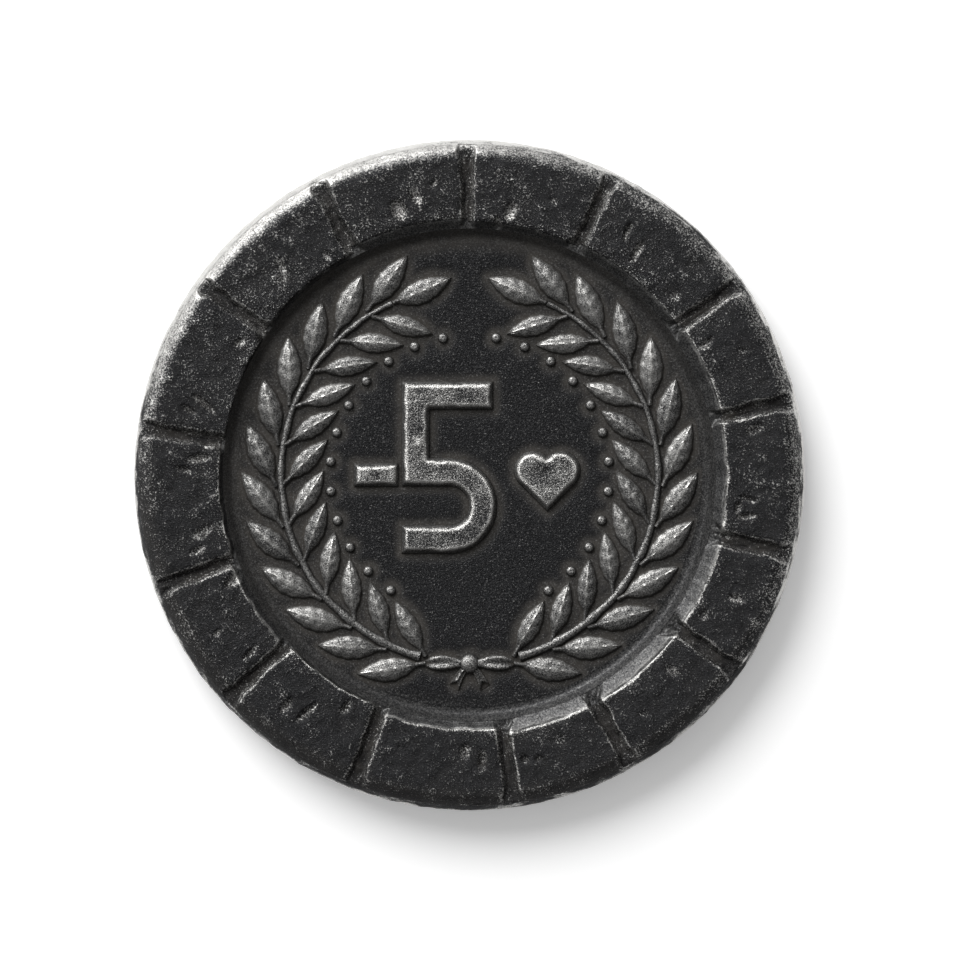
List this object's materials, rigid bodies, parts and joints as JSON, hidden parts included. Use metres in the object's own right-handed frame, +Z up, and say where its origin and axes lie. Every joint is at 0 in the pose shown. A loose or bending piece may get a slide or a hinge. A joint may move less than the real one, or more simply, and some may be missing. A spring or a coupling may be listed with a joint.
{
  "type": "game token",
  "caption": "Round cast-metal game token with a ring of worn stone blocks, a laurel wreath, a plain numeral and a heart on each sunken face.",
  "frame": {"origin": "middle of the lower face, in the plane that the lower stones' faces lie in", "axes": "+Z up through the front face, along the token's axis; +X to the right and +Y to the top of the front face's numeral"},
  "size_m": [0.035, 0.035, 0.0032],
  "materials": {
    "field_metal": "black antiqued zinc casting, satin, smooth in the cove and finely pitted on the field",
    "stone_metal": "black antiqued zinc casting, grainy, rubbed to bare grey metal along the arrises",
    "relief_metal": "black antiqued zinc casting, rubbed to grey metal on its high places"
  },
  "bodies": {
    "root": {"disc": "field_metal", "front_stone_01": "stone_metal", "front_stone_02": "stone_metal", "front_stone_03": "stone_metal", "front_stone_04": "stone_metal", "front_stone_05": "stone_metal", "front_stone_06": "stone_metal", "front_stone_07": "stone_metal", "front_stone_08": "stone_metal", "front_stone_09": "stone_metal", "front_stone_10": "stone_metal", "front_stone_11": "stone_metal", "front_stone_12": "stone_metal", "front_stone_13": "stone_metal", "front_stone_14": "stone_metal", "back_stone_01": "stone_metal", "back_stone_02": "stone_metal", "back_stone_03": "stone_metal", "back_stone_04": "stone_metal", "back_stone_05": "stone_metal", "back_stone_06": "stone_metal", "back_stone_07": "stone_metal", "back_stone_08": "stone_metal", "back_stone_09": "stone_metal", "back_stone_10": "stone_metal", "back_stone_11": "stone_metal", "back_stone_12": "stone_metal", "back_stone_13": "stone_metal", "back_stone_14": "stone_metal", "front_numeral": "relief_metal", "front_minus_bar": "relief_metal", "front_heart": "relief_metal", "front_right_stem": "relief_metal", "front_left_stem": "relief_metal", "front_right_outer_leaves": "relief_metal", "front_left_outer_leaves": "relief_metal", "front_right_inner_leaves": "relief_metal", "front_left_inner_leaves": "relief_metal", "front_berries": "relief_metal", "front_tie": "relief_metal", "back_numeral": "relief_metal", "back_minus_bar": "relief_metal", "back_heart": "relief_metal", "back_right_stem": "relief_metal", "back_left_stem": "relief_metal", "back_right_outer_leaves": "relief_metal", "back_left_outer_leaves": "relief_metal", "back_right_inner_leaves": "relief_metal", "back_left_inner_leaves": "relief_metal", "back_berries": "relief_metal", "back_tie": "relief_metal"}
  },
  "joints": []
}
